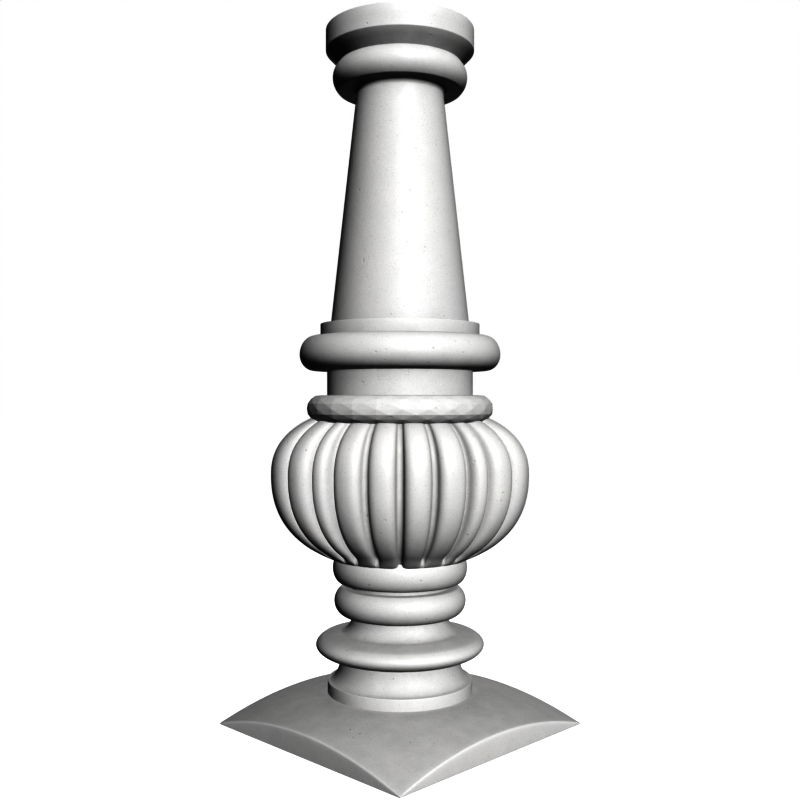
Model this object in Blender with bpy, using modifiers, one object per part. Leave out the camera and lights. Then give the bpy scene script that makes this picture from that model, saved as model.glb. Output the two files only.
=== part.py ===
"""Stone baluster, turned and carved from one block, standing on its square plinth.

From the ground up it has a square plinth with a domed top, a fillet, a hollow, a wide half-round disc,
two beads, a bulb carved with upright lobes, a ring cut into facets, a plain neck, a torus, a tapering
shaft, a bead, a splay and the round bearing disc. The axis is Z and the ground is z = 0.
"""

import math

import bmesh
import bpy

# Height of the whole stone: the shaft takes up what the mouldings leave
HEIGHT = 0.700

# Plinth: a square slab whose top is part of a large ball, thinnest at the four corners
PLINTH_SIDE = 0.258
CORNER_THICKNESS = 0.001
DOME_RADIUS = 0.430

# Fillet and hollow that stand on the dome
FOOT_FILLET_RADIUS = 0.0728
FOOT_FILLET_HEIGHT = 0.0117
FOOT_HOLLOW_DEPTH = 0.0128
FOOT_HOLLOW_HEIGHT = 0.0236

# Wide half-round disc, whose upper half ends at a crease below a sloping top
DISC_RADIUS = 0.0845
DISC_NOSE_DEPTH = 0.0262
DISC_HALF_HEIGHT = 0.0121
DISC_CREASE_INSET = 0.0065
DISC_TOP_RADIUS = 0.0620
DISC_TOP_RISE = 0.0042

# Cove between the disc and the lower bead
COVE_DEPTH = 0.0136
COVE_HEIGHT = 0.0165

# Lower bead, cut flat across its top, and the narrow gap above it
LOWER_BEAD_RADIUS = 0.0662
LOWER_BEAD_DEPTH = 0.0139
LOWER_BEAD_HALF_HEIGHT = 0.0150
LOWER_BEAD_FLAT_HEIGHT = 0.0132
CORE_RADIUS = 0.0500
BEAD_GAP_HEIGHT = 0.0047

# Upper bead, whose top is hidden in the bulb
UPPER_BEAD_RADIUS = 0.0677
UPPER_BEAD_DEPTH = 0.0098
UPPER_BEAD_HALF_HEIGHT = 0.0151

# Bulb: each half of its outline has its own height, and both share a fullness across and up
BULB_RADIUS = 0.1306
BULB_SINK = 0.0145
BULB_LOWER_HEIGHT = 0.0939
BULB_UPPER_HEIGHT = 0.0696
BULB_FULLNESS_ACROSS = 2.55
BULB_FULLNESS_UP = 2.25

# Bulb's plan: drawn in towards the front and back corners, and over the faces
BULB_FRONT_INSET = 0.0157
BULB_FACE_INSET = 0.0091

# Upright lobes: the groove lines between the front corner and a side corner, in degrees
GROOVE_ANGLES = (0.0, 18.1, 37.4, 50.2, 67.6, 90.0)
GROOVE_WIDTH = 0.0089
GROOVE_DEPTH = 0.0138
FLANK_SHARE = 0.70
LOBE_FULLNESS = 2.7
FRONT_CORNER_TURN = -45.0

# Low rim left at the bulb's foot: its plain height, and the height over which the carving fades in
RIM_HEIGHT = 0.0070
RIM_FADE_HEIGHT = 0.0120

# Ring cut into facets, seated where the lobes end
RING_RADIUS = 0.0939
RING_TUBE_RADIUS = 0.0134
RING_ABOVE_BULB = 0.0650
RING_FACETS = 24
RING_ROWS = 16

# Plain neck between the ring and the torus
NECK_RADIUS = 0.0734
NECK_HEIGHT = 0.0383

# Torus and the fillet on it
TORUS_RADIUS = 0.1009
TORUS_NOSE_DEPTH = 0.0139
TORUS_LOWER_HEIGHT = 0.0157
TORUS_UPPER_HEIGHT = 0.0185
LEDGE_RADIUS = 0.0801
LEDGE_HEIGHT = 0.0125

# Tapering shaft, with a small hollow where it meets the bead above
SHAFT_FOOT_RADIUS = 0.0697
SHAFT_TOP_RADIUS = 0.0441
SHAFT_HOLLOW = 0.0045

# Top bead, the straight splay over it and the bearing disc
TOP_BEAD_EDGE_RADIUS = 0.0618
TOP_BEAD_BULGE = 0.0060
TOP_BEAD_HEIGHT = 0.0267
SPLAY_HEIGHT = 0.0132
CAP_RADIUS = 0.0747
CAP_HEIGHT = 0.0215

# Fineness of the solid, and how far the sawing block reaches past it
TURN_STEPS = 40
DOME_STEPS = 6
ARC_SPACING = 0.0062
FEWEST_ARC_STEPS = 3
BULB_ROWS = 13
LOBE_STATIONS = (-1.0, -0.80, -0.60, -0.25, 0.25, 0.60, 0.80)
MERGE_DISTANCE = 0.00001
BLOCK_MARGIN = 0.05

STONE_COLOUR = (0.80, 0.79, 0.76, 1.0)
STONE_ROUGHNESS = 0.75

HALF_DIAGONAL = PLINTH_SIDE / math.sqrt(2)


def dome_height(radius):
    """Height of the plinth's domed top at a distance from the axis."""
    corner_drop = math.sqrt(DOME_RADIUS**2 - HALF_DIAGONAL**2)
    return CORNER_THICKNESS + math.sqrt(DOME_RADIUS**2 - radius**2) - corner_drop


# Heights that follow from the sizes above, from the ground up
Z_FILLET_TOP = dome_height(FOOT_FILLET_RADIUS) + FOOT_FILLET_HEIGHT
Z_DISC_FOOT = Z_FILLET_TOP + FOOT_HOLLOW_HEIGHT
Z_DISC_NOSE = Z_DISC_FOOT + DISC_HALF_HEIGHT
DISC_CREASE_TURN = math.acos(1 - DISC_CREASE_INSET / DISC_NOSE_DEPTH)
Z_DISC_TOP = Z_DISC_NOSE + DISC_HALF_HEIGHT * math.sin(DISC_CREASE_TURN) + DISC_TOP_RISE
Z_LOWER_BEAD_FOOT = Z_DISC_TOP + COVE_HEIGHT
Z_LOWER_BEAD = Z_LOWER_BEAD_FOOT + LOWER_BEAD_HALF_HEIGHT
Z_LOWER_BEAD_FLAT = Z_LOWER_BEAD + LOWER_BEAD_FLAT_HEIGHT
Z_UPPER_BEAD_FOOT = Z_LOWER_BEAD_FLAT + BEAD_GAP_HEIGHT
Z_UPPER_BEAD = Z_UPPER_BEAD_FOOT + UPPER_BEAD_HALF_HEIGHT
Z_UPPER_BEAD_TOP = Z_UPPER_BEAD + UPPER_BEAD_HALF_HEIGHT
Z_BULB_FOOT = Z_UPPER_BEAD_TOP - BULB_SINK
Z_BULB_WIDEST = Z_BULB_FOOT + BULB_LOWER_HEIGHT
Z_RING = Z_BULB_WIDEST + RING_ABOVE_BULB
Z_NECK_TOP = Z_RING + NECK_HEIGHT
Z_TORUS_NOSE = Z_NECK_TOP + TORUS_LOWER_HEIGHT
Z_LEDGE = Z_TORUS_NOSE + TORUS_UPPER_HEIGHT
Z_SHAFT = Z_LEDGE + LEDGE_HEIGHT

# Heights that follow from the top down
Z_CAP = HEIGHT - CAP_HEIGHT
Z_TOP_BEAD_TOP = Z_CAP - SPLAY_HEIGHT
Z_TOP_BEAD = Z_TOP_BEAD_TOP - TOP_BEAD_HEIGHT
Z_SHAFT_TOP = Z_TOP_BEAD - SHAFT_HOLLOW


def arc(centre, half_width, half_height, start, end):
    """Evenly spaced points along an ellipse between two angles in degrees, as (radius, height) pairs.

    A negative half width gives a hollow: its centre is then outside the stone.
    """
    length = math.radians(end - start) * (abs(half_width) + half_height) / 2
    steps = max(FEWEST_ARC_STEPS, round(length / ARC_SPACING))
    turns = [math.radians(start + (end - start) * step / steps) for step in range(steps + 1)]
    return [(centre[0] + half_width * math.cos(t), centre[1] + half_height * math.sin(t)) for t in turns]


def foot_outline():
    """Plinth, fillet, hollow, disc and cove, from the ground up."""
    blank_radius = HALF_DIAGONAL / math.cos(math.pi / TURN_STEPS)
    outline = [(0, 0), (blank_radius, 0)]
    for step in range(DOME_STEPS + 1):
        radius = blank_radius + (FOOT_FILLET_RADIUS - blank_radius) * step / DOME_STEPS
        outline.append((radius, dome_height(radius)))
    outline += arc((FOOT_FILLET_RADIUS, Z_DISC_FOOT), -FOOT_HOLLOW_DEPTH, FOOT_HOLLOW_HEIGHT, -90, 0)
    # The disc's first point would lie inside the neck of the hollow, so the arc starts at its second
    disc_centre = (DISC_RADIUS - DISC_NOSE_DEPTH, Z_DISC_NOSE)
    crease = math.degrees(DISC_CREASE_TURN)
    outline += arc(disc_centre, DISC_NOSE_DEPTH, DISC_HALF_HEIGHT, -90, crease)[1:]
    outline += arc((DISC_TOP_RADIUS, Z_LOWER_BEAD_FOOT), -COVE_DEPTH, COVE_HEIGHT, -90, 0)
    return outline


def beads_outline():
    """The two beads under the bulb, from the ground up."""
    lower_centre = (LOWER_BEAD_RADIUS - LOWER_BEAD_DEPTH, Z_LOWER_BEAD)
    upper_centre = (UPPER_BEAD_RADIUS - UPPER_BEAD_DEPTH, Z_UPPER_BEAD)
    flat = math.degrees(math.asin(LOWER_BEAD_FLAT_HEIGHT / LOWER_BEAD_HALF_HEIGHT))
    outline = arc(lower_centre, LOWER_BEAD_DEPTH, LOWER_BEAD_HALF_HEIGHT, -90, flat)
    outline += [(CORE_RADIUS, Z_LOWER_BEAD_FLAT), (CORE_RADIUS, Z_UPPER_BEAD_FOOT)]
    outline += arc(upper_centre, UPPER_BEAD_DEPTH, UPPER_BEAD_HALF_HEIGHT, -90, 90)
    return outline


def neck_outline():
    """The core inside the bulb, the neck, the torus and its fillet, from the ground up."""
    neck_foot = Z_RING - RING_TUBE_RADIUS
    torus_centre = (TORUS_RADIUS - TORUS_NOSE_DEPTH, Z_TORUS_NOSE)
    outline = [(CORE_RADIUS, Z_UPPER_BEAD_TOP), (CORE_RADIUS, neck_foot)]
    outline += [(NECK_RADIUS, neck_foot), (NECK_RADIUS, Z_NECK_TOP)]
    outline += arc(torus_centre, TORUS_NOSE_DEPTH, TORUS_LOWER_HEIGHT, -90, 0)
    outline += arc(torus_centre, TORUS_NOSE_DEPTH, TORUS_UPPER_HEIGHT, 0, 90)[1:]
    outline += [(LEDGE_RADIUS, Z_LEDGE), (LEDGE_RADIUS, Z_SHAFT)]
    return outline


def shaft_outline():
    """The shaft, the top bead, the splay over it and the bearing disc, from the ground up."""
    outline = [(SHAFT_FOOT_RADIUS, Z_SHAFT)]
    hollow_centre = (SHAFT_TOP_RADIUS + SHAFT_HOLLOW, Z_SHAFT_TOP)
    outline += arc(hollow_centre, -SHAFT_HOLLOW, SHAFT_HOLLOW, 0, 90)
    half_chord = TOP_BEAD_HEIGHT / 2
    bead_curve = (half_chord**2 + TOP_BEAD_BULGE**2) / (2 * TOP_BEAD_BULGE)
    bead_turn = math.degrees(math.asin(half_chord / bead_curve))
    bead_centre = (TOP_BEAD_EDGE_RADIUS + TOP_BEAD_BULGE - bead_curve, Z_TOP_BEAD + half_chord)
    outline += arc(bead_centre, bead_curve, bead_curve, -bead_turn, bead_turn)
    outline += [(CAP_RADIUS, Z_CAP), (CAP_RADIUS, HEIGHT), (0, HEIGHT)]
    return outline


def turned(name, outline, steps, collection):
    """An object turned about Z from an outline given from the ground up."""
    points = [(radius, 0, height) for radius, height in reversed(outline)]
    mesh = bpy.data.meshes.new(name)
    mesh.from_pydata(points, [(i, i + 1) for i in range(len(points) - 1)], [])
    turned_object = bpy.data.objects.new(name, mesh)
    collection.objects.link(turned_object)
    screw = turned_object.modifiers.new("turning", "SCREW")
    screw.axis = "Z"
    screw.angle = 2 * math.pi
    screw.steps = steps
    screw.render_steps = steps
    screw.use_merge_vertices = True
    screw.merge_threshold = MERGE_DISTANCE
    screw.use_smooth_shade = True
    return turned_object


def bulb_outline():
    """Outline of the bulb over the crests of its lobes, from the ground up."""
    outline = [(0, Z_BULB_FOOT)]
    for row in range(1, BULB_ROWS):
        turn = math.pi * (row / BULB_ROWS - 0.5)
        across = math.cos(turn) ** (2 / BULB_FULLNESS_ACROSS)
        up = abs(math.sin(turn)) ** (2 / BULB_FULLNESS_UP)
        height = BULB_UPPER_HEIGHT * up if turn > 0 else -BULB_LOWER_HEIGHT * up
        outline.append((BULB_RADIUS * across, Z_BULB_WIDEST + height))
    outline.append((0, Z_BULB_WIDEST + BULB_UPPER_HEIGHT))
    return outline


def groove_lines():
    """Angles of all the groove lines in degrees, mirrored from each quarter to the next."""
    lines = []
    for quarter in range(4):
        start = 90 * quarter
        if quarter % 2:
            lines += [start + 90 - angle for angle in reversed(GROOVE_ANGLES)][:-1]
        else:
            lines += [start + angle for angle in GROOVE_ANGLES][:-1]
    return lines


def pressed_in(offset, half_width):
    """Share of the groove's depth at an offset from a lobe's middle, both in degrees.

    The crown is a rounded loaf shape down to the flank, and the groove is a round channel.
    """
    groove_half = math.degrees(GROOVE_WIDTH / 2 / BULB_RADIUS)
    crown = half_width - groove_half
    if offset < crown:
        return FLANK_SHARE * (1 - math.sqrt(1 - (offset / crown) ** LOBE_FULLNESS))
    across = (half_width - offset) / groove_half
    return FLANK_SHARE + (1 - FLANK_SHARE) * math.sqrt(max(0, 1 - across**2))


def above_rim(height):
    """How far a height is from the low rim, at 0, to where the carving is whole, at 1."""
    return min(1, max(0, (height - Z_BULB_FOOT - RIM_HEIGHT) / RIM_FADE_HEIGHT))


def drawn_in(turn):
    """Share of its radius that the bulb's plan loses, at an angle in degrees from the front corner."""
    front = BULB_FRONT_INSET * math.cos(math.radians(turn)) ** 2
    face = BULB_FACE_INSET * math.sin(math.radians(2 * turn)) ** 2
    return (front + face) / BULB_RADIUS


def cuts_rim(turn):
    """Whether an angle belongs to the front or the back groove, the only ones that cut the rim."""
    return min(turn % 180, 180 - turn % 180) < GROOVE_ANGLES[1] / 2


def carve_lobes(mesh):
    """Move each column of the turned bulb to its place on a lobe, and press the grooves in.

    Above the rim the plan draws in steeply at first, and the grooves deepen gently at both ends.
    """
    lines = groove_lines()
    lines.append(lines[0] + 360)
    stations = len(LOBE_STATIONS)
    columns = (len(lines) - 1) * stations
    for vertex in mesh.vertices:
        x, y, z = vertex.co
        radius = math.hypot(x, y)
        column = round(math.degrees(math.atan2(y, x)) / 360 * columns) % columns
        lobe, station = divmod(column, stations)
        middle = (lines[lobe] + lines[lobe + 1]) / 2
        half_width = (lines[lobe + 1] - lines[lobe]) / 2
        offset = LOBE_STATIONS[station] * half_width
        rise = above_rim(z)
        inset = drawn_in(middle + offset) * rise * (2 - rise)
        groove = GROOVE_DEPTH / BULB_RADIUS * pressed_in(abs(offset), half_width)
        if not cuts_rim(middle + offset):
            groove *= rise**2 * (3 - 2 * rise)
        radius *= 1 - inset - groove
        turn = math.radians(middle + offset + FRONT_CORNER_TURN)
        vertex.co = (radius * math.cos(turn), radius * math.sin(turn), z)


def make_bulb(collection):
    """The bulb with its lobes, as a closed body of its own."""
    lobes = len(groove_lines())
    blank = turned("bulb_blank", bulb_outline(), lobes * len(LOBE_STATIONS), collection)
    bpy.context.view_layer.update()
    evaluated = blank.evaluated_get(bpy.context.evaluated_depsgraph_get())
    mesh = bpy.data.meshes.new_from_object(evaluated)
    bpy.data.objects.remove(blank)
    carve_lobes(mesh)
    bulb = bpy.data.objects.new("bulb", mesh)
    collection.objects.link(bulb)
    return bulb


def make_facet_ring(collection):
    """A ring whose rows of corners are turned half a facet from one another."""
    bpy.ops.mesh.primitive_torus_add(
        major_segments=RING_FACETS,
        minor_segments=RING_ROWS,
        major_radius=RING_RADIUS - RING_TUBE_RADIUS,
        minor_radius=RING_TUBE_RADIUS,
    )
    ring = bpy.context.active_object
    ring.name = "facet_ring"
    for other in list(ring.users_collection):
        other.objects.unlink(ring)
    collection.objects.link(ring)
    half_facet = math.pi / RING_FACETS
    for vertex in ring.data.vertices:
        x, y, z = vertex.co
        across = math.hypot(x, y) - (RING_RADIUS - RING_TUBE_RADIUS)
        row = round(math.atan2(z, across) / (2 * math.pi) * RING_ROWS)
        turn = math.atan2(y, x) + (half_facet if row % 2 else 0)
        radius = math.hypot(x, y)
        vertex.co = (radius * math.cos(turn), radius * math.sin(turn), z + Z_RING)
    shape = bmesh.new()
    shape.from_mesh(ring.data)
    bmesh.ops.triangulate(shape, faces=shape.faces[:], quad_method="SHORT_EDGE")
    shape.to_mesh(ring.data)
    shape.free()
    return ring


def make_square_block(collection):
    """The upright square block that the plinth is sawn to."""
    bpy.ops.mesh.primitive_cube_add(size=1, location=(0, 0, HEIGHT / 2))
    block = bpy.context.active_object
    block.name = "square_block"
    block.scale = (PLINTH_SIDE, PLINTH_SIDE, HEIGHT + 2 * BLOCK_MARGIN)
    bpy.ops.object.transform_apply(location=False, rotation=False, scale=True)
    for other in list(block.users_collection):
        other.objects.unlink(block)
    collection.objects.link(block)
    return block


def combine(body, cutter, operation):
    """Cut or join one object with another that is then hidden."""
    boolean = body.modifiers.new(cutter.name, "BOOLEAN")
    boolean.operation = operation
    boolean.solver = "EXACT"
    boolean.object = cutter
    cutter.hide_render = True
    cutter.display_type = "WIRE"


def stone_material():
    """Pale fine-grained stone."""
    material = bpy.data.materials.new("stone")
    material.use_nodes = True
    shader = material.node_tree.nodes["Principled BSDF"]
    shader.inputs["Base Color"].default_value = STONE_COLOUR
    shader.inputs["Roughness"].default_value = STONE_ROUGHNESS
    shader.inputs["Metallic"].default_value = 0.0
    return material


def main():
    """Empty the scene and build the baluster."""
    for old in list(bpy.data.objects):
        bpy.data.objects.remove(old)
    parts = bpy.data.collections.new("stone_baluster")
    cutters = bpy.data.collections.new("shaping_bodies")
    bpy.context.scene.collection.children.link(parts)
    bpy.context.scene.collection.children.link(cutters)
    outline = foot_outline() + beads_outline() + neck_outline() + shaft_outline()
    baluster = turned("baluster", outline, TURN_STEPS, parts)
    combine(baluster, make_square_block(cutters), "INTERSECT")
    combine(baluster, make_bulb(cutters), "UNION")
    combine(baluster, make_facet_ring(cutters), "UNION")
    baluster.data.materials.append(stone_material())


main()
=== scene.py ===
# %% [markdown]
# A stone baluster, turned and carved from one block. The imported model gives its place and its
# size, and this lesson gives it the fine surface: every moulding as a true curve, every lobe of
# the bulb and every cut facet of the ring. The stone is one piece on the real object, so it is
# one piece here too.

import bpy
import numpy as np
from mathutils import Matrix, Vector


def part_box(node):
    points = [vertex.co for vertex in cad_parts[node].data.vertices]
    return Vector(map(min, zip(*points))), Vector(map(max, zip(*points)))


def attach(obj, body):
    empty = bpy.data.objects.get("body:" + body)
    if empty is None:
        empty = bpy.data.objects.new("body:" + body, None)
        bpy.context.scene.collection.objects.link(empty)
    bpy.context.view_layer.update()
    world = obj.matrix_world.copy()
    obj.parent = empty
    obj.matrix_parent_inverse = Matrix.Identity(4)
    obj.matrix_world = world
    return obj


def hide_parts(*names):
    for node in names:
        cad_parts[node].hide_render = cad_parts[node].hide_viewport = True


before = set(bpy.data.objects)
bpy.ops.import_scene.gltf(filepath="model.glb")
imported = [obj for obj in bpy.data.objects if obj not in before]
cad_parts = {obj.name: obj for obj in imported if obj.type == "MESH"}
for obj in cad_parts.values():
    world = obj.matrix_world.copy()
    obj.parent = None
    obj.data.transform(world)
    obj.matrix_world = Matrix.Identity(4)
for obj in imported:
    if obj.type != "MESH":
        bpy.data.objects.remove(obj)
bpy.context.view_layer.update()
low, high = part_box("baluster")
HEIGHT = high.z - low.z
HALF_SIDE = (high.x - low.x) / 2
print(f"the stone is {HEIGHT:.3f} m tall on a plinth {2 * HALF_SIDE:.3f} m square")

# %% [markdown]
# A moulding is drawn as an outline of radius against height, from the top of the stone to the
# ground. Each round stretch is part of an ellipse. A hollow is the same curve with its centre
# outside the stone, which a negative half width gives.

# %% Draw an arc
ARC_POINTS = 60


def arc(centre, half_width, half_height, start, end):
    """Radius: centre plus half width times cosine. Height: centre plus half height times sine."""
    turns = np.radians(np.linspace(start, end, ARC_POINTS))
    across = centre[0] + half_width * np.cos(turns)
    return np.column_stack([across, centre[1] + half_height * np.sin(turns)])


print(f"a quarter arc of 10 mm ends at {arc((0, 0), 0.01, 0.01, 90, 0)[-1].round(4)}")

# %% [markdown]
# The top of the stone: a plain disc that carries the rail, a straight splay and a plump bead
# below it, and a shaft that widens downwards. The hollow at the shaft's top is only 4.5 mm deep,
# but it catches a clear shadow line.

# %% Outline of the top and the shaft
CAP_RADIUS = 0.0747
CAP_HEIGHT = 0.0215
SPLAY_HEIGHT = 0.0132
TOP_BEAD_EDGE_RADIUS = 0.0618
TOP_BEAD_BULGE = 0.0060
TOP_BEAD_HEIGHT = 0.0267
SHAFT_TOP_RADIUS = 0.0441
SHAFT_FOOT_RADIUS = 0.0697
SHAFT_HOLLOW = 0.0045

cap_foot = HEIGHT - CAP_HEIGHT
bead_top = cap_foot - SPLAY_HEIGHT
bead_foot = bead_top - TOP_BEAD_HEIGHT
shaft_top = bead_foot - SHAFT_HOLLOW
half_chord = TOP_BEAD_HEIGHT / 2
bead_curve = (half_chord**2 + TOP_BEAD_BULGE**2) / (2 * TOP_BEAD_BULGE)
bead_turn = np.degrees(np.arcsin(half_chord / bead_curve))
bead_centre = (TOP_BEAD_EDGE_RADIUS + TOP_BEAD_BULGE - bead_curve, bead_foot + half_chord)
top_outline = [
    [(0, HEIGHT), (CAP_RADIUS, HEIGHT), (CAP_RADIUS, cap_foot)],
    arc(bead_centre, bead_curve, bead_curve, bead_turn, -bead_turn),
    arc((SHAFT_TOP_RADIUS + SHAFT_HOLLOW, shaft_top), -SHAFT_HOLLOW, SHAFT_HOLLOW, 90, 0),
]
print(f"the shaft starts {HEIGHT - shaft_top:.3f} m below the top")

# %% [markdown]
# The foot is worked out the other way, from the ground up. The plinth's top is part of a large
# ball, so its height at any distance from the axis follows from the ball's radius and the
# thickness left at the four corners.

# %% Height of the domed plinth
CORNER_THICKNESS = 0.001
DOME_RADIUS = 0.430

half_diagonal = HALF_SIDE * np.sqrt(2)


def dome_height(radius):
    """The ball's height at that distance, lowered so that the corners keep their thickness."""
    corner = np.sqrt(DOME_RADIUS**2 - half_diagonal**2)
    return CORNER_THICKNESS + np.sqrt(DOME_RADIUS**2 - radius**2) - corner


print(f"the plinth is {dome_height(0.073) * 1000:.1f} mm thick where the mouldings start")

# %% [markdown]
# Above the plinth come a plain fillet, a hollow, a wide disc with a half-round nose and a cove.
# The disc's upper half ends at a crease, from which a slope runs in to the cove.

# %% Levels and outline of the foot
FOOT_FILLET_RADIUS = 0.0728
FOOT_FILLET_HEIGHT = 0.0117
FOOT_HOLLOW_DEPTH = 0.0128
FOOT_HOLLOW_HEIGHT = 0.0236
DISC_RADIUS = 0.0845
DISC_NOSE_DEPTH = 0.0262
DISC_HALF_HEIGHT = 0.0121
DISC_CREASE_INSET = 0.0065
DISC_TOP_RADIUS = 0.0620
DISC_TOP_RISE = 0.0042
DISC_UNDERSIDE_TURN = -86
COVE_DEPTH = 0.0136
COVE_HEIGHT = 0.0165

disc_foot = dome_height(FOOT_FILLET_RADIUS) + FOOT_FILLET_HEIGHT + FOOT_HOLLOW_HEIGHT
disc_nose = disc_foot + DISC_HALF_HEIGHT
crease = np.arccos(1 - DISC_CREASE_INSET / DISC_NOSE_DEPTH)
cove_foot = disc_nose + DISC_HALF_HEIGHT * np.sin(crease) + DISC_TOP_RISE
lower_bead_foot = cove_foot + COVE_HEIGHT
disc_centre = (DISC_RADIUS - DISC_NOSE_DEPTH, disc_nose)
foot_outline = [
    arc((DISC_TOP_RADIUS, lower_bead_foot), -COVE_DEPTH, COVE_HEIGHT, 0, -90),
    arc(disc_centre, DISC_NOSE_DEPTH, DISC_HALF_HEIGHT, np.degrees(crease), DISC_UNDERSIDE_TURN),
    arc((FOOT_FILLET_RADIUS, disc_foot), -FOOT_HOLLOW_DEPTH, FOOT_HOLLOW_HEIGHT, 0, -90),
    [(FOOT_FILLET_RADIUS, dome_height(FOOT_FILLET_RADIUS))],
]
print(f"the disc's nose is {disc_nose:.3f} m above the ground")

# %% [markdown]
# Two beads carry the bulb. The lower one is cut flat across its top, and a narrow gap parts the
# two.

# %% Levels and outline of the beads
LOWER_BEAD_RADIUS = 0.0662
LOWER_BEAD_DEPTH = 0.0139
LOWER_BEAD_HALF_HEIGHT = 0.0150
LOWER_BEAD_FLAT_HEIGHT = 0.0132
CORE_RADIUS = 0.0500
BEAD_GAP_HEIGHT = 0.0047
UPPER_BEAD_RADIUS = 0.0677
UPPER_BEAD_DEPTH = 0.0098
UPPER_BEAD_HALF_HEIGHT = 0.0151

lower_bead = lower_bead_foot + LOWER_BEAD_HALF_HEIGHT
lower_bead_flat = lower_bead + LOWER_BEAD_FLAT_HEIGHT
upper_bead_foot = lower_bead_flat + BEAD_GAP_HEIGHT
upper_bead = upper_bead_foot + UPPER_BEAD_HALF_HEIGHT
upper_bead_top = upper_bead + UPPER_BEAD_HALF_HEIGHT
flat_turn = np.degrees(np.arcsin(LOWER_BEAD_FLAT_HEIGHT / LOWER_BEAD_HALF_HEIGHT))
lower_centre = (LOWER_BEAD_RADIUS - LOWER_BEAD_DEPTH, lower_bead)
upper_centre = (UPPER_BEAD_RADIUS - UPPER_BEAD_DEPTH, upper_bead)
beads_outline = [
    [(CORE_RADIUS, upper_bead_top)],
    arc(upper_centre, UPPER_BEAD_DEPTH, UPPER_BEAD_HALF_HEIGHT, 90, -90),
    [(CORE_RADIUS, upper_bead_foot), (CORE_RADIUS, lower_bead_flat)],
    arc(lower_centre, LOWER_BEAD_DEPTH, LOWER_BEAD_HALF_HEIGHT, flat_turn, -90),
]
print(f"the bulb rests on its bead {upper_bead_top:.3f} m above the ground")

# %% [markdown]
# The bulb sinks a little into the upper bead, and its own two heights place the ring, the plain
# neck, the torus and the ledge that the shaft stands on.

# %% Levels and outline of the neck
BULB_SINK = 0.0145
BULB_LOWER_HEIGHT = 0.0939
BULB_UPPER_HEIGHT = 0.0696
RING_ABOVE_BULB = 0.0650
RING_TUBE_RADIUS = 0.0134
NECK_RADIUS = 0.0734
NECK_HEIGHT = 0.0383
TORUS_RADIUS = 0.1009
TORUS_NOSE_DEPTH = 0.0139
TORUS_LOWER_HEIGHT = 0.0157
TORUS_UPPER_HEIGHT = 0.0185
LEDGE_RADIUS = 0.0801
LEDGE_HEIGHT = 0.0125

bulb_foot = upper_bead_top - BULB_SINK
bulb_widest = bulb_foot + BULB_LOWER_HEIGHT
ring_level = bulb_widest + RING_ABOVE_BULB
neck_top = ring_level + NECK_HEIGHT
torus_nose = neck_top + TORUS_LOWER_HEIGHT
ledge_foot = torus_nose + TORUS_UPPER_HEIGHT
shaft_foot = ledge_foot + LEDGE_HEIGHT
neck_foot = ring_level - RING_TUBE_RADIUS
torus_centre = (TORUS_RADIUS - TORUS_NOSE_DEPTH, torus_nose)
neck_outline = [
    [(SHAFT_FOOT_RADIUS, shaft_foot), (LEDGE_RADIUS, shaft_foot), (LEDGE_RADIUS, ledge_foot)],
    arc(torus_centre, TORUS_NOSE_DEPTH, TORUS_UPPER_HEIGHT, 90, 0),
    arc(torus_centre, TORUS_NOSE_DEPTH, TORUS_LOWER_HEIGHT, 0, -90),
    [(NECK_RADIUS, neck_top), (NECK_RADIUS, neck_foot), (CORE_RADIUS, neck_foot)],
]
print(f"the ring is {ring_level:.3f} m and the shaft's foot {shaft_foot:.3f} m above the ground")

# %% [markdown]
# No arris on real stone is knife sharp: sawing, rubbing and years of weather leave it about a
# millimetre round. So the whole outline is laid out evenly, then each point is averaged with its
# neighbours under a bell curve. Straight runs stay straight, and every corner gets the same small
# radius.

# %% Soften the corners
OUTLINE_SPACING = 0.00015
SOFTENED_REACH = 0.00045
BELL_REACHES = 3


def evenly(points, spacing):
    """Walk along the outline and put down a point at every equal step."""
    walked = np.concatenate([[0], np.cumsum(np.hypot(*np.diff(points, axis=0).T))])
    places = np.linspace(0, walked[-1], int(walked[-1] / spacing) + 1)
    return np.column_stack([np.interp(places, walked, points[:, side]) for side in (0, 1)])


def bell(reach):
    """Weights of e to minus half the squared distance in reaches, which add up to one."""
    width = int(BELL_REACHES * reach / OUTLINE_SPACING)
    weights = np.exp(-((np.arange(-width, width + 1) * OUTLINE_SPACING / reach) ** 2) / 2)
    return weights / weights.sum()


def softened(points):
    """Each point becomes the bell-weighted mean of its neighbours, with the ends mirrored."""
    weights = bell(SOFTENED_REACH)
    width = len(weights) // 2
    sides = [np.pad(side, width, mode="reflect", reflect_type="odd") for side in points.T]
    return np.column_stack([np.convolve(side, weights, mode="valid") for side in sides])


pieces = top_outline + neck_outline + beads_outline + foot_outline
sharp_outline = evenly(np.vstack([np.array(piece, float) for piece in pieces]), OUTLINE_SPACING)
outline = softened(sharp_outline)
print(f"the outline is {len(outline) * OUTLINE_SPACING:.2f} m long")

# %% [markdown]
# A grid needs rows where the outline turns and hardly any where it runs straight. Each step along
# the outline costs its length against the longest row allowed plus its turning against the
# sharpest. Rows at equal cost then crowd into the small curves by themselves.

# %% Choose the rows of the turned surface
LONGEST_ROW = 0.012
SHARPEST_ROW = np.radians(10)


def headings_along(points):
    """Direction of each step: the angle whose tangent is its rise over its run."""
    return np.unwrap(np.arctan2(*np.diff(points, axis=0).T[::-1]))


headings = headings_along(outline)
turning = np.concatenate([[0], np.diff(headings), [0]])
cost = np.cumsum(OUTLINE_SPACING / LONGEST_ROW + np.abs(turning) / SHARPEST_ROW)
row_count = int(cost[-1])
numbers = np.arange(len(outline))
row_places = np.interp(np.linspace(cost[0], cost[-1], row_count), cost, numbers)
rows = np.column_stack([np.interp(row_places, numbers, side) for side in outline.T])
print(f"{row_count} rows carry the turned mouldings")

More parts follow.
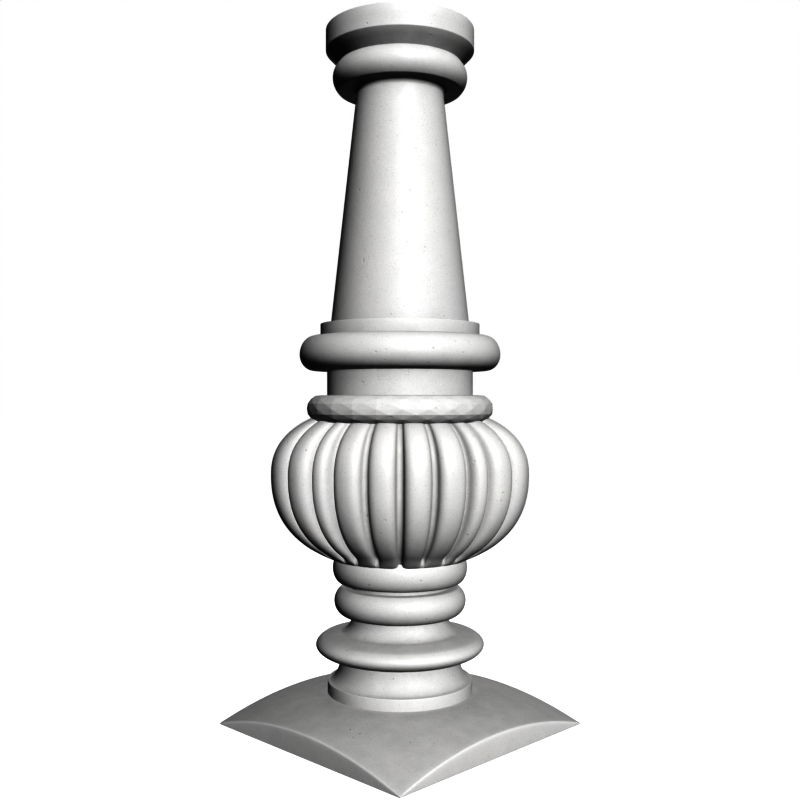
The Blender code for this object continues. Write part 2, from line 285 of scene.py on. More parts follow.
# %% [markdown]
# Weather and hands rub the arrises of stone pale. Two numbers at each point say where the colour
# changes. A point is worn where the outline bulges tightly. The second number is painted shade: it
# is strong where the rest of the outline rises above its own surface close by, part of it lies on
# whatever faces up, and it lies most heavily on whatever faces down.

# %% Find what is worn and where shade is painted
WORN_RADIUS = 0.0016
WEAR_SPREAD = 0.0012
WEAR_STRENGTH = 2.0
# Painted shade: its reach and strength in hollows, and its shares on faces turned up and down.
SHADE_REACH = 0.010
SHADE_STRENGTH = 0.6
UP_FACING_SHADE = 0.42
UP_FACING_POWER = 3
DOWN_FACING_SHADE = 1.0
TINY = 1e-6


# Painted shade in hollows: the more the outline rises over a point close by, the darker it is.
def painted_shade_along(points, headings):
    """For each point, how steeply its neighbours rise over it, summed and faded by distance."""
    outward = np.column_stack([-np.sin(headings), np.cos(headings)])
    apart = points[None] - points[:, None]
    distance = np.hypot(apart[..., 0], apart[..., 1]) + TINY
    steepness = np.einsum("ijk,ik->ij", apart, outward) / distance
    lengths = np.gradient(np.concatenate([[0], np.cumsum(np.hypot(*np.diff(points, axis=0).T))]))
    fade = np.exp(-distance / SHADE_REACH) / SHADE_REACH
    total = (np.clip(steepness, 0, 1) * fade * lengths[None]).sum(axis=1)
    return np.clip(total * SHADE_STRENGTH, 0, 1)


row_headings = np.interp(row_places, numbers, np.append(headings, headings[-1]))
tightness = np.clip(-turning / OUTLINE_SPACING * WORN_RADIUS, 0, 1)
worn_along = WEAR_STRENGTH * np.convolve(tightness, bell(WEAR_SPREAD), mode="same")
row_worn = np.clip(np.interp(row_places, numbers, worn_along), 0, 1)
# Painted shade on faces turned up, and more on faces turned down.
facing_up = np.clip(np.cos(row_headings), 0, 1) ** UP_FACING_POWER
facing_down = np.clip(-np.cos(row_headings), 0, 1)
facing_shade = UP_FACING_SHADE * facing_up + DOWN_FACING_SHADE * facing_down
row_painted_shade = np.clip(painted_shade_along(rows, row_headings) + facing_shade, 0, 1)
print(f"worn up to {row_worn.max():.2f}, sheltered up to {row_painted_shade.max():.2f}")

# %% [markdown]
# The turned rows are swept round the axis in even columns. Their number is a multiple of eight,
# so that a column lies on each corner of the plinth and each middle of its sides. The first row
# has no radius, so it is left out, and one point closes the top later.

# %% Sweep the turned surface
COLUMNS = 184

column_turns = np.arange(COLUMNS) * 2 * np.pi / COLUMNS


def swept(radii, heights, turns):
    """Each point is its radius times the cosine and the sine of its turn, at its height."""
    radii, heights, turns = np.broadcast_arrays(radii, heights, turns)
    return np.stack([radii * np.cos(turns), radii * np.sin(turns), heights], axis=-1)


turned_grid = swept(rows[1:, :1], rows[1:, 1:], column_turns[None])
turned_worn = np.repeat(row_worn[1:, None], COLUMNS, axis=1)
turned_painted_shade = np.repeat(row_painted_shade[1:, None], COLUMNS, axis=1)
print(f"turned grid: {turned_grid.shape[0]} rows by {turned_grid.shape[1]} columns")

# %% [markdown]
# The plinth is the same ball cut by four upright planes, which is why its edges are arched. Its
# rows spread from the round fillet out to the square, roll over the edge and drop to the ground.
# The edge is rounded less where the stone gets thin at the corners.

# %% Spread the plinth out to its square
DOME_ROWS = 16
EDGE_ROWS = 6
SIDE_ROWS = 5
EDGE_RADIUS = 0.0016
THIN_SHARE = 0.35
ROW_CROWDING = 0.9
UNDERSIDE_SHARE = 0.5

to_side = HALF_SIDE / np.maximum(np.abs(np.cos(column_turns)), np.abs(np.sin(column_turns)))
edge_height = dome_height(to_side)
roundness = np.minimum(EDGE_RADIUS, THIN_SHARE * edge_height)
outwards = np.linspace(0, 1, DOME_ROWS + 1)[1:, None] ** ROW_CROWDING
dome_radii = FOOT_FILLET_RADIUS + (to_side - roundness - FOOT_FILLET_RADIUS) * outwards
roll = np.linspace(0, np.pi / 2, EDGE_ROWS + 1)[1:, None]
edge_radii = to_side - roundness * (1 - np.sin(roll))
edge_levels = dome_height(edge_radii) - roundness * (1 - np.cos(roll))
down = np.linspace(0, 1, SIDE_ROWS + 1)[1:, None]
side_levels = (edge_height - roundness) * (1 - down)
plinth_grid = np.concatenate([
    swept(dome_radii, dome_height(dome_radii), column_turns[None]),
    swept(edge_radii, edge_levels, column_turns[None]),
    swept(to_side[None], side_levels, column_turns[None]),
    swept(to_side[None] * UNDERSIDE_SHARE, 0, column_turns[None]),
])
print(f"the side is {edge_height.max() * 1000:.1f} mm tall at its middle")

# %% [markdown]
# The plinth is worn along its arched edges, and the wear fades over a few millimetres. Shade is
# painted over the whole dome, most of it round the foot of the fillet, and the sides get darker
# towards the ground.

# %% Wear and painted shade of the plinth
EDGE_WEAR = 0.5
EDGE_WEAR_REACH = 0.004
SIDE_WEAR_POWER = 3
# Painted shade round the fillet's foot and on the dome; the sides darken towards the ground.
FILLET_SHADE = 0.4
GROUND_DARKENING = 0.45
GROUND_DARKENING_POWER = 2

dome_worn = np.exp(-(to_side - dome_radii) / EDGE_WEAR_REACH) * EDGE_WEAR
from_fillet = dome_radii - FOOT_FILLET_RADIUS
# Painted shade over the whole dome, strongest round the fillet's foot.
dome_painted_shade = np.exp(-from_fillet / SHADE_REACH) * FILLET_SHADE + UP_FACING_SHADE
edge_worn = np.ones((EDGE_ROWS, COLUMNS))
side_worn = np.repeat(EDGE_WEAR * (1 - down) ** SIDE_WEAR_POWER, COLUMNS, axis=1)
# The sides get darker towards the ground.
darker_to_ground = np.repeat(GROUND_DARKENING * down**GROUND_DARKENING_POWER, COLUMNS, axis=1)
under = np.zeros((1, COLUMNS))
plinth_worn = np.concatenate([dome_worn, edge_worn, side_worn, under])
plinth_painted_shade = np.concatenate([dome_painted_shade, 0 * edge_worn, darker_to_ground, under])
print(f"{plinth_grid.shape[0]} rows make the plinth")

# %% [markdown]
# The bulb is a swollen drum: each half of its outline is a superellipse with its own height. Seen
# from above it isn't a plain circle. It is a little drawn in towards the front and the back
# corners and over the four faces, except on the low round rim that is left where it meets the
# bead.

# %% Outline and plan of the bulb
BULB_RADIUS = 0.1306
BULB_FULLNESS_ACROSS = 2.55
BULB_FULLNESS_UP = 2.25
BULB_FRONT_INSET = 0.0157
BULB_FACE_INSET = 0.0091
RIM_HEIGHT = 0.0070
RIM_FADE_HEIGHT = 0.0120
BULB_ROWS = 84

bulb_turns = np.linspace(np.pi / 2, -np.pi / 2, BULB_ROWS + 2)[1:-1]
bulb_across = BULB_RADIUS * np.cos(bulb_turns) ** (2 / BULB_FULLNESS_ACROSS)
bulb_up = np.abs(np.sin(bulb_turns)) ** (2 / BULB_FULLNESS_UP)
bulb_half = np.where(bulb_turns > 0, BULB_UPPER_HEIGHT, -BULB_LOWER_HEIGHT)
bulb_levels = bulb_widest + bulb_half * bulb_up


def drawn_in(turns):
    """Front inset times squared cosine, plus face inset times squared sine of twice the turn."""
    front = BULB_FRONT_INSET * np.cos(turns) ** 2
    face = BULB_FACE_INSET * np.sin(2 * turns) ** 2
    return (front + face) / BULB_RADIUS


rise = np.clip((bulb_levels - bulb_foot - RIM_HEIGHT) / RIM_FADE_HEIGHT, 0, 1)[:, None]
print(f"the bulb is {2 * BULB_RADIUS:.3f} m across at {bulb_widest:.3f} m")

# %% [markdown]
# Upright lobes cover the bulb. Seen from above each one is a loaf: a flat crown that rolls over
# into an upright flank, then a narrow round channel before the next. The grooves are laid out
# over one quarter and mirrored into the others, as a carver does with one template.

# %% Lay out the lobes
GROOVE_ANGLES = (0.0, 18.1, 37.4, 50.2, 67.6, 90.0)
GROOVE_WIDTH = 0.0089
GROOVE_DEPTH = 0.0138
FLANK_SHARE = 0.70
LOBE_FULLNESS = 2.7
FRONT_CORNER_TURN = np.radians(-45)
CROWN_STEPS = 7
CHANNEL_STEPS = 3

quarter = np.array(GROOVE_ANGLES)
half_turn = np.concatenate([quarter[:-1], 180 - quarter[:0:-1]])
groove_lines = np.concatenate([half_turn, half_turn + 180])
lobe_middles = (groove_lines + np.append(groove_lines[1:], 360)) / 2
lobe_halves = (np.append(groove_lines[1:], 360) - groove_lines) / 2
groove_half = np.degrees(GROOVE_WIDTH / 2 / BULB_RADIUS)
widths = 2 * lobe_halves
print(f"{len(groove_lines)} lobes, {widths.min():.1f} to {widths.max():.1f} degrees wide")

# %% [markdown]
# Half a lobe is sampled by angle round its own small curves, so the points crowd on the flanks.
# The crown is a superellipse: its offset is a sine to a power, and its depth is one minus the
# cosine. The channel is a quarter of an ellipse: its offset is a cosine and its depth a sine.

# %% Press the grooves in
crown_roll = np.radians(np.linspace(0, 90, CROWN_STEPS + 1))[:-1]
channel_roll = np.radians(np.linspace(0, 90, CHANNEL_STEPS + 1))
crown_offset = np.sin(crown_roll) ** (2 / LOBE_FULLNESS)
crown_depth = FLANK_SHARE * (1 - np.cos(crown_roll))
channel_offset = np.cos(channel_roll)
channel_depth = FLANK_SHARE + (1 - FLANK_SHARE) * np.sin(channel_roll)

right_offsets = np.concatenate([
    crown_offset[None] * (lobe_halves - groove_half)[:, None],
    lobe_halves[:, None] - channel_offset[None] * groove_half,
], axis=1)
right_depths = np.concatenate([crown_depth, channel_depth])
lobe_offsets = np.concatenate([-right_offsets[:, :0:-1], right_offsets[:, :-1]], axis=1)
lobe_depths = np.concatenate([right_depths[:0:-1], right_depths[:-1]])
bulb_columns = np.radians((lobe_middles[:, None] + lobe_offsets).ravel())
groove_shares = np.tile(lobe_depths, len(lobe_middles))
print(f"{len(bulb_columns)} columns go round the bulb")

# %% [markdown]
# Most grooves die out just above the bead and leave a low rim there. Only the front and the back
# groove run right through it. Going up from the rim, the grooves deepen as three times the square
# of the rise less twice its cube, and the plan draws in as twice the rise less its square. Shade
# is painted into the grooves, into the crevices under the ring and over the bead, and over the
# bulb's lower half, where it darkens from the widest level down. The crowns are worn paler.

# %% Make the bulb's grid
THROUGH_WIDTH = np.radians(6)
GROOVE_POWER = 4
# Painted shade in the grooves, in the crevices under the ring and over the bead, and low down.
GROOVE_SHADE = 0.7
CREVICE_SHADE = 0.7
CREVICE_REACH = 0.006
RING_SHADE_DROP = 0.013
BULB_LOWER_SHADE = 0.9
CROWN_WEAR = 0.35

column = bulb_columns[None]
level = bulb_levels[:, None]
nearest_through = np.abs((column + np.pi / 2) % np.pi - np.pi / 2)
running = np.where(nearest_through < THROUGH_WIDTH, 1.0, rise**2 * (3 - 2 * rise))
carved = groove_shares[None] * running
plan = 1 - drawn_in(column) * rise * (2 - rise)
bulb_radii = bulb_across[:, None] * (plan - GROOVE_DEPTH / BULB_RADIUS * carved)
bulb_grid = swept(bulb_radii, level, column + FRONT_CORNER_TURN)
# Painted shade: grooves, crevices under the ring and over the bead, darker from the widest level
# down.
below_ring = np.clip(ring_level - RING_SHADE_DROP - level, 0, 1)
above_bead = np.clip(level - upper_bead_top, 0, 1)
crevices = np.exp(-below_ring / CREVICE_REACH) + np.exp(-above_bead / CREVICE_REACH)
lower_shade = np.clip((bulb_widest - level) / BULB_LOWER_HEIGHT, 0, 1) ** 2 * BULB_LOWER_SHADE
bulb_shade_sum = carved**GROOVE_POWER * GROOVE_SHADE + crevices * CREVICE_SHADE + lower_shade
bulb_painted_shade = np.clip(bulb_shade_sum, 0, 1)
bulb_worn = CROWN_WEAR * (1 - carved) ** GROOVE_POWER
print(f"the lobes are {np.ptp(bulb_radii[BULB_ROWS // 2]) * 1000:.0f} mm deep in plan at most")

# %% [markdown]
# Between the bulb and the neck sits a ring that is cut all over into small flat facets. Upright
# edges part it into bays, and each bay has four bosses one above the other, so that the facets
# between them read as diamonds. The bosses stand out from the flat of the bay by a share of its
# curve's height. They also rise a little over the round of the ring, whose top runs in to the
# neck almost level.

# %% Corners of the facet ring
RING_RADIUS = 0.0939
RING_FACETS = 24
RING_TURN = np.radians(1.4)
RING_ROW_TURNS = (140, 90, 67.5, 45, 22.5, 0, -22.5, -45, -67.5, -90, -140)
BOSS_ROWS = (2, 4, 6, 8)
BOSS_SHARE = 0.55
BOSS_RISE = 0.0004
RING_TOP_DIP = 0.0008

ring_centre = RING_RADIUS - RING_TUBE_RADIUS
tube_turns = np.radians(RING_ROW_TURNS)[:, None]
facet_width = 2 * np.pi / RING_FACETS
upright_turns = np.arange(RING_FACETS)[None] * facet_width + FRONT_CORNER_TURN + RING_TURN
ring_radii = ring_centre + RING_TUBE_RADIUS * np.cos(tube_turns)
ring_levels = ring_level + RING_TUBE_RADIUS * np.sin(tube_turns)
ring_radii[0] = NECK_RADIUS - RING_TOP_DIP
ring_levels[0] = ring_levels[1] - RING_TOP_DIP
flat_share = np.cos(facet_width / 2)
boss_turns = tube_turns[BOSS_ROWS, :]
boss_share = flat_share + BOSS_SHARE * (1 - flat_share)
boss_radii = ring_radii[BOSS_ROWS, :] * boss_share + BOSS_RISE * np.cos(boss_turns)
boss_levels = ring_levels[BOSS_ROWS, :] + BOSS_RISE * np.sin(boss_turns)
ring_points = np.concatenate([
    swept(ring_radii, ring_levels, upright_turns).reshape(-1, 3),
    swept(boss_radii, boss_levels, upright_turns + facet_width / 2).reshape(-1, 3),
])
print(f"{len(ring_points)} corners round the ring")

# %% [markdown]
# A bay is a fan of six triangles about its boss, and spans three rows of corners. The two rows
# out of sight, towards the neck and the bulb, are joined by plain strips.

# %% Faces of the facet ring
here = np.arange(RING_FACETS)
beside = (here + 1) % RING_FACETS
boss_start = len(RING_ROW_TURNS) * RING_FACETS


def fans(boss_row, number):
    """Going round each bay, every two neighbouring corners make a triangle with its boss."""
    rows_down = [(boss_row + step) * RING_FACETS for step in (-1, 0, 1)]
    ring_round = [row + here for row in rows_down] + [row + beside for row in reversed(rows_down)]
    boss = boss_start + number * RING_FACETS + here
    pairs = zip(ring_round, ring_round[1:] + ring_round[:1])
    return np.concatenate([np.column_stack([boss, one, other]) for one, other in pairs])


def strip(upper_row, lower_row):
    """Two triangles between each pair of neighbouring corners and the pair below."""
    upper, lower = upper_row * RING_FACETS, lower_row * RING_FACETS
    return np.concatenate([
        np.column_stack([upper + here, lower + here, upper + beside]),
        np.column_stack([lower + here, lower + beside, upper + beside]),
    ])


last_row = len(RING_ROW_TURNS) - 1
ring_facets = np.concatenate(
    [fans(row, number) for number, row in enumerate(BOSS_ROWS)]
    + [strip(0, 1), strip(last_row - 1, last_row), strip(last_row, 0)]
)
print(f"{len(ring_facets)} facets in all")

# %% [markdown]
# A grid becomes a closed skin with a four-sided face between each pair of rows and columns, and a
# fan of triangles to one point at each end. Rows run downwards and columns run anticlockwise, so
# that every face looks outwards.


# %% Close a grid into a skin
def skin(grid, top, bottom, first_vertex):
    """Vertices are the grid row by row, then the two end points; faces join neighbours."""
    rows_down, columns = grid.shape[:2]
    vertices = np.concatenate([grid.reshape(-1, 3), [top, bottom]])
    here = np.arange(columns)
    beside = (here + 1) % columns
    upper = first_vertex + np.arange(rows_down - 1)[:, None] * columns
    lower = upper + columns
    quads = np.stack([upper + here, lower + here, lower + beside, upper + beside], axis=-1)
    last = first_vertex + (rows_down - 1) * columns
    top_vertex = np.full(columns, first_vertex + rows_down * columns)
    top_fan = np.column_stack([top_vertex, first_vertex + here, first_vertex + beside])
    bottom_fan = np.column_stack([top_vertex + 1, last + beside, last + here])
    return vertices, quads.reshape(-1, 4).tolist() + top_fan.tolist() + bottom_fan.tolist()


body_grid = np.concatenate([turned_grid, plinth_grid])
body_vertices, body_faces = skin(body_grid, (0, 0, HEIGHT), (0, 0, 0), 0)
bulb_ends = (0, 0, bulb_widest + BULB_UPPER_HEIGHT), (0, 0, bulb_foot)
bulb_vertices, bulb_faces = skin(bulb_grid, *bulb_ends, len(body_vertices))
facet_faces = (ring_facets + len(body_vertices) + len(bulb_vertices)).tolist()
print(f"{len(body_faces)} body, {len(bulb_faces)} bulb and {len(facet_faces)} ring faces")

# %% [markdown]
# The three skins go into one mesh, because the real thing is one block. Shading is smooth, except
# over edges sharper than the crease angle and on the ring, where every facet stays flat.

# %% Build the stone
CREASE_ANGLE = np.radians(42)

stone_mesh = bpy.data.meshes.new("carved_stone")
all_vertices = np.concatenate([body_vertices, bulb_vertices, ring_points])
stone_mesh.from_pydata(all_vertices.tolist(), [], body_faces + bulb_faces + facet_faces)
smooth = np.ones(len(stone_mesh.polygons), dtype=bool)
smooth[len(body_faces) + len(bulb_faces):] = False
stone_mesh.set_sharp_from_angle(angle=CREASE_ANGLE)
stone_mesh.polygons.foreach_set("use_smooth", smooth)
stone = bpy.data.objects.new("carved_stone", stone_mesh)
bpy.context.scene.collection.objects.link(stone)
triangles = sum(len(polygon.vertices) - 2 for polygon in stone_mesh.polygons)
print(f"the stone has {triangles} triangles")

# %% [markdown]
# The two numbers found above go onto the mesh as attributes, so that the material can read them
# at every point of the surface.

# %% Store the wear and the painted shade
# How dark the painted shade on the ring's lower half gets.
RING_LOWER_SHADE = 0.6

ring_worn = np.full(len(ring_points), CROWN_WEAR)
# Painted shade on the ring's lower half, darker towards its bottom.
below_middle = (ring_level - ring_points[:, 2]) / RING_TUBE_RADIUS
ring_painted_shade = np.clip(below_middle, 0, 1) * RING_LOWER_SHADE


def store(name, turned, plinth, bulb, ring):
    """One value for each vertex in the mesh's order, and 0 for the points that close the skins."""
    values = np.concatenate([turned.ravel(), plinth.ravel(), [0, 0], bulb.ravel(), [0, 0], ring])
    layer = stone_mesh.attributes.new(name, "FLOAT", "POINT")
    layer.data.foreach_set("value", values.astype(np.float32))
    print(f"mean of {name}: {values.mean():.2f}")


store("worn", turned_worn, plinth_worn, bulb_worn, ring_worn)
# The second attribute holds the painted shade, and the darkening of the plinth's sides to the
# ground.
store("painted_shade", turned_painted_shade, plinth_painted_shade, bulb_painted_shade, ring_painted_shade)

# %% [markdown]
# Shader sums read best as sums. A small class wraps a socket, so that adding, taking away and
# multiplying in Python put down Math nodes. One method on the board makes every other kind of
# node.


# %% Shader maths as Python
class Wire:
    """A number that flows from a node's socket; sums with it become Math nodes."""

    def __init__(self, board, socket):
        self.board = board
        self.socket = socket

    def joined(self, operation, first, second):
        return self.board.node("ShaderNodeMath", {"operation": operation}, {0: first, 1: second})

    def __add__(self, other):
        return self.joined("ADD", self, other)

    def __radd__(self, other):
        return self.joined("ADD", other, self)

    def __sub__(self, other):
        return self.joined("SUBTRACT", self, other)

    def __rsub__(self, other):
        return self.joined("SUBTRACT", other, self)

    def __mul__(self, other):
        return self.joined("MULTIPLY", self, other)

    def __rmul__(self, other):
        return self.joined("MULTIPLY", other, self)


class Board:
    """The nodes of one material."""

    def __init__(self, material):
        self.nodes = material.node_tree.nodes
        self.links = material.node_tree.links

    def node(self, kind, settings, sockets, output=0):
        """A node of that kind: its settings are made first, then its sockets are filled."""
        made = self.nodes.new(kind)
        for name, value in settings.items():
            setattr(made, name, value)
        self.fill(made, sockets)
        return Wire(self, made.outputs[output])

    def fill(self, made, sockets):
        """Put values or links into a node's sockets."""
        for name, value in sockets.items():
            if isinstance(value, Wire):
                self.links.new(value.socket, made.inputs[name])
            else:
                made.inputs[name].default_value = value


material = bpy.data.materials.new("pale_stone")
material.use_nodes = True
board = Board(material)
print("the material's board is ready")

# %% [markdown]
# Pale limestone is never one colour. Wide soft clouds come from the bed that the block was cut
# from, smaller patches from damp, and a fine grain of shell sand shows as pale and dark specks
# about a millimetre across. All of them read the object's own coordinates in metres.

# %% Clouds, patches and grain
CLOUD_SCALE = 11
PATCH_SCALE = 52
GRAIN_SCALE = 950
SPECK_SCALE = 330
CLOUD_RANGE = (0.35, 0.68)
SPECK_RANGE = (0.10, 0.32)
SPECK_CHANCE = (0.55, 0.90)

place = board.node("ShaderNodeTexCoord", {}, {}, "Object")


def noise(scale, detail, roughness):
    """Fractal noise between 0 and 1, so many waves to the metre."""
    sockets = {"Vector": place, "Scale": scale, "Detail": detail, "Roughness": roughness}
    return board.node("ShaderNodeTexNoise", {}, sockets)


def between(number, lowest, highest):
    """0 at the lowest value, 1 at the highest, and held there outside them."""
    sockets = {"Value": number, "From Min": lowest, "From Max": highest}
    return board.node("ShaderNodeMapRange", {"clamp": True}, sockets)


def dots(scale, size_range, chance_range):
    """A dot in the middle of each cell, strong in some cells by chance and missing in others."""
    cells = {"Vector": place, "Scale": scale}
    distance = board.node("ShaderNodeTexVoronoi", {"feature": "F1"}, cells, "Distance")
    chance = board.node("ShaderNodeTexVoronoi", {"feature": "F1"}, cells, "Color")
    return (1 - between(distance, *size_range)) * between(chance, *chance_range)


clouds = between(noise(CLOUD_SCALE, detail=4, roughness=0.55), *CLOUD_RANGE)
patches = between(noise(PATCH_SCALE, detail=5, roughness=0.6), *CLOUD_RANGE)
grain = noise(GRAIN_SCALE, detail=3, roughness=0.75)
specks = dots(SPECK_SCALE, SPECK_RANGE, SPECK_CHANCE)
worn_wire = board.node("ShaderNodeAttribute", {"attribute_name": "worn"}, {}, "Fac")
# The second number read here is the painted shade.
painted_shade_wire = board.node("ShaderNodeAttribute", {"attribute_name": "painted_shade"}, {}, "Fac")
print("clouds, patches, grain and specks are set out")

# %% [markdown]
# The colours are mixed from the widest pattern to the finest: two tones of stone by cloud, a
# cooler tone by patch, grain and specks as small changes of value, then painted shade, patchy,
# where the shade number is high, and a rubbed, paler tone on what is worn.

# %% Mix the colour
WARM_TONE = (0.82, 0.815, 0.805, 1)
COOL_TONE = (0.775, 0.776, 0.775, 1)
PATCH_TONE = (0.74, 0.738, 0.73, 1)
SPECK_TONE = (0.47, 0.465, 0.455, 1)
PALE_GRAIN = (0.89, 0.888, 0.882, 1)
# The darkest tone is painted shade, and it also darkens the pits.
SHADE_AND_DUST_TONE = (0.50, 0.498, 0.492, 1)
RUBBED_TONE = (0.90, 0.898, 0.893, 1)
PATCH_SHARE = 0.35
PALE_GRAIN_RANGE = (0.52, 0.72)
PALE_GRAIN_SHARE = 0.55
DARK_GRAIN_RANGE = (0.48, 0.30)
DARK_GRAIN_SHARE = 0.22
SPECK_SHARE = 0.38
# How much the painted shade darkens the colour, more in the patches.
SHADE_MIX_SHARE = 0.25
PATCHY_SHADE_MIX_SHARE = 0.35
RUBBED_SHARE = 0.30
CLOUDY_RUBBED_SHARE = 0.30


def mixed(share, one, other):
    """One colour shading into another as the share goes from 0 to 1."""
    return board.node("ShaderNodeMix", {"data_type": "RGBA"}, {0: share, 6: one, 7: other}, 2)


colour = mixed(clouds, COOL_TONE, WARM_TONE)
colour = mixed(patches * PATCH_SHARE, colour, PATCH_TONE)
colour = mixed(between(grain, *PALE_GRAIN_RANGE) * PALE_GRAIN_SHARE, colour, PALE_GRAIN)
colour = mixed(between(grain, *DARK_GRAIN_RANGE) * DARK_GRAIN_SHARE, colour, SPECK_TONE)
colour = mixed(specks * SPECK_SHARE, colour, SPECK_TONE)
# Painted shade: darker where the shade number is high, more in the patches.
shade_mix = painted_shade_wire * (SHADE_MIX_SHARE + PATCHY_SHADE_MIX_SHARE * patches)
colour = mixed(shade_mix, colour, SHADE_AND_DUST_TONE)
rubbed = worn_wire * (RUBBED_SHARE + CLOUDY_RUBBED_SHARE * clouds)
colour = mixed(rubbed, colour, RUBBED_TONE)
print("the colour is mixed in seven layers")

# %% [markdown]
# Honed stone shines only faintly. Its roughness rises where the grain is open, in damp patches and
# where shade is painted, and falls where hands have rubbed it. The surface itself has a fine tooth,
# a few shallow pits and a very slight swell left by the rubbing block, all as heights in metres for
# one Bump node.

# %% Roughness and relief
TOOTH_HEIGHT = 0.00010
PIT_DEPTH = 0.00035
SWELL_HEIGHT = 0.00030
PIT_SCALE = 130
PIT_RANGE = (0.04, 0.16)
PIT_CHANCE = (0.62, 0.80)
PIT_DUST_MIX_SHARE = 0.5
SWELL_SCALE = 38
HONED_ROUGHNESS = 0.45
GRAIN_ROUGHENS = 0.14
DAMP_ROUGHENS = 0.10
SHADE_ROUGHENS = 0.12
HANDS_SMOOTH = 0.07

roughness = HONED_ROUGHNESS + GRAIN_ROUGHENS * grain + DAMP_ROUGHENS * patches
# Roughness also rises where shade is painted.
roughness = roughness + SHADE_ROUGHENS * painted_shade_wire - HANDS_SMOOTH * worn_wire
pits = dots(PIT_SCALE, PIT_RANGE, PIT_CHANCE)
swell = noise(SWELL_SCALE, detail=2, roughness=0.5)
relief = grain * TOOTH_HEIGHT + swell * SWELL_HEIGHT - pits * PIT_DEPTH
bump = board.node("ShaderNodeBump", {}, {"Strength": 1.0, "Distance": 1.0, "Height": relief})
colour = mixed(pits * PIT_DUST_MIX_SHARE, colour, SHADE_AND_DUST_TONE)
finish = {"Base Color": colour, "Roughness": roughness, "Normal": bump, "IOR": 1.5}
board.fill(board.nodes["Principled BSDF"], finish)
stone_mesh.materials.append(material)
print(f"the relief is {(TOOTH_HEIGHT + SWELL_HEIGHT + PIT_DEPTH) * 1000:.2f} mm deep at most")

# %% [markdown]
# The stone rides on the frame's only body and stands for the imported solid. It is hidden from
# bounced light, so that it doesn't brighten its own undersides, which the picture shows nearly
# black.

# %% Tie the stone to the frame
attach(stone, "root")
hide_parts("baluster")
stone.visible_diffuse = False
print("the carved stone rides on the root body and stands for the solid")

# %% [markdown]
# The stone stands on a plain pale floor. The floor is lit by the same lamps but kept out of the
# light that bounces onto the stone, so that the undersides of the mouldings stay dark. It has a
# faint glow of its own that rises with the distance, so that far off it turns into the white
# backdrop.

# %% Lay the floor
FLOOR_HALF = 30.0
FLOOR_NEAR = (0.80, 0.80, 0.80, 1)
FLOOR_FAR = (0, 0, 0, 1)
GLOW_NEAR = (0.78, 0.78, 0.78, 1)
GLOW_FAR = (1, 1, 1, 1)
FADE_START = 0.4
FADE_END = 1.6

floor_mesh = bpy.data.meshes.new("floor")
corners = np.array([(-1, -1, 0), (1, -1, 0), (1, 1, 0), (-1, 1, 0)]) * FLOOR_HALF
floor_mesh.from_pydata(corners.tolist(), [], [(0, 1, 2, 3)])
floor = bpy.data.objects.new("floor", floor_mesh)
bpy.context.scene.collection.objects.link(floor)
floor_material = bpy.data.materials.new("pale_floor")
floor_material.use_nodes = True
floor_board = Board(floor_material)
floor_place = floor_board.node("ShaderNodeTexCoord", {}, {}, "Object")
length = {"operation": "LENGTH"}
from_axis = floor_board.node("ShaderNodeVectorMath", length, {0: floor_place}, "Value")
fade_limits = {"Value": from_axis, "From Min": FADE_START, "From Max": FADE_END}
fade = floor_board.node("ShaderNodeMapRange", {"clamp": True}, fade_limits)


def fading(near, far):
    """The near colour at the stone's foot, the far one from where the fade ends."""
    return floor_board.node("ShaderNodeMix", {"data_type": "RGBA"}, {0: fade, 6: near, 7: far}, 2)


floor_board.fill(floor_board.nodes["Principled BSDF"], {
    "Base Color": fading(FLOOR_NEAR, FLOOR_FAR),
    "Roughness": 0.9,
    "Emission Color": fading(GLOW_NEAR, GLOW_FAR),
    "Emission Strength": 1.0,
})
floor_mesh.materials.append(floor_material)
floor.visible_diffuse = False
floor.visible_glossy = False
print(f"the floor is {2 * FLOOR_HALF:.0f} m across")

# %% [markdown]
# The camera stands level, a little below half the stone's height, and looks straight at its axis
# over one corner of the plinth.

# %% Set up the camera
CAMERA_TURN = np.radians(45)
CAMERA_DISTANCE = 0.9767
CAMERA_HEIGHT = 0.3277
FIELD_OF_VIEW = np.radians(45)

camera_data = bpy.data.cameras.new("camera")
camera_data.sensor_width = 36
camera_data.lens = camera_data.sensor_width / 2 / np.tan(FIELD_OF_VIEW / 2)
camera = bpy.data.objects.new("camera", camera_data)
bpy.context.scene.collection.objects.link(camera)
towards = np.array([np.sin(CAMERA_TURN), -np.cos(CAMERA_TURN)])
camera.location = (*(towards * CAMERA_DISTANCE), CAMERA_HEIGHT)
camera.rotation_euler = (np.pi / 2, 0, CAMERA_TURN)
bpy.context.scene.camera = camera
print(f"the lens is {camera_data.lens:.1f} mm")

# %% [markdown]
# Two lamps hang in one place, a little to the right of the camera and above it. They are so far
# off that their light is nearly parallel, and shades the top and the foot of the stone alike. The
# strong one casts no shadow, because the picture shows each moulding shaded by its own slope
# alone. The weak one is larger and adds soft shadows. A third lamp behind the stone keeps its
# back out of the dark, and gives no shine that would show along the edges from the front.


# %% Hang the lamps
LAMP_TURN = CAMERA_TURN + np.radians(16)
LAMP_RISE = np.radians(25)
LAMP_DISTANCE = 12.0
BACK_TURN = CAMERA_TURN + np.pi
BACK_RISE = np.radians(2)
BACK_DISTANCE = 4.0


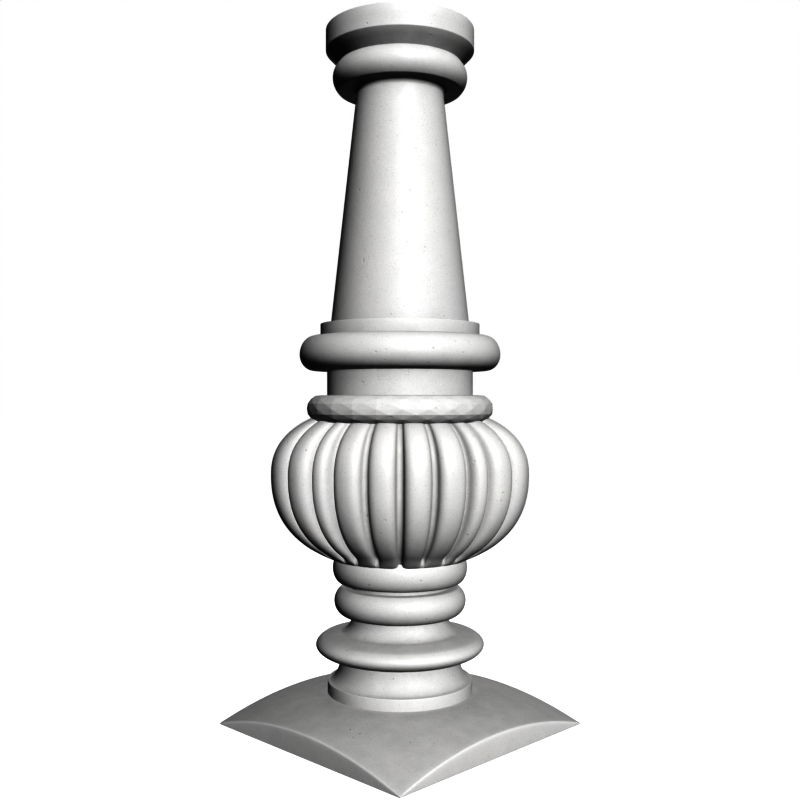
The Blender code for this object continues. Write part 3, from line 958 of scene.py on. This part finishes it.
def softbox(name, turn, rise, distance, size, power):
    """A square lamp facing the stone, at a turn from the plinth's front and a rise above level."""
    lamp_data = bpy.data.lights.new(name, "AREA")
    lamp_data.size = size
    lamp_data.energy = power
    lamp = bpy.data.objects.new(name, lamp_data)
    bpy.context.scene.collection.objects.link(lamp)
    level_part = distance * np.cos(rise)
    lamp.location = (
        level_part * np.sin(turn), -level_part * np.cos(turn), HEIGHT / 2 + distance * np.sin(rise),
    )
    lamp.rotation_euler = (np.pi / 2 - rise, 0, turn)
    return lamp


soft = softbox("soft_lamp", LAMP_TURN, LAMP_RISE, LAMP_DISTANCE, size=5.0, power=180)
front = softbox("front_lamp", LAMP_TURN, LAMP_RISE, LAMP_DISTANCE, size=2.7, power=1680)
front.data.use_shadow = False
back = softbox("back_lamp", BACK_TURN, BACK_RISE, BACK_DISTANCE, size=1.2, power=170)
back.visible_glossy = False
print(f"front lamp {front.data.energy:.0f} W, soft lamp {soft.data.energy:.0f} W")

# %% [markdown]
# What is left is a faint even light from all round. The backdrop is white to the camera alone, so
# that it doesn't wash the stone out. The gamma makes brightness follow the light in a straight
# line, which gives the deep blacks and clear whites of the picture.

# %% Light the backdrop
BACKDROP = (1, 1, 1, 1)
FAINT_LIGHT = (0.022, 0.022, 0.023, 1)
STRAIGHT_LINE_GAMMA = 0.46

world = bpy.data.worlds.new("studio")
bpy.context.scene.world = world
world.use_nodes = True
world_nodes = world.node_tree.nodes
ray = world_nodes.new("ShaderNodeLightPath")
tone = world_nodes.new("ShaderNodeMix")
tone.data_type = "RGBA"
tone.inputs[6].default_value = FAINT_LIGHT
tone.inputs[7].default_value = BACKDROP
world.node_tree.links.new(ray.outputs["Is Camera Ray"], tone.inputs[0])
world.node_tree.links.new(tone.outputs[2], world_nodes["Background"].inputs["Color"])
view_settings = bpy.context.scene.view_settings
view_settings.view_transform = "Standard"
view_settings.gamma = STRAIGHT_LINE_GAMMA
print(f"the view is {view_settings.view_transform} with gamma {view_settings.gamma:.2f}")
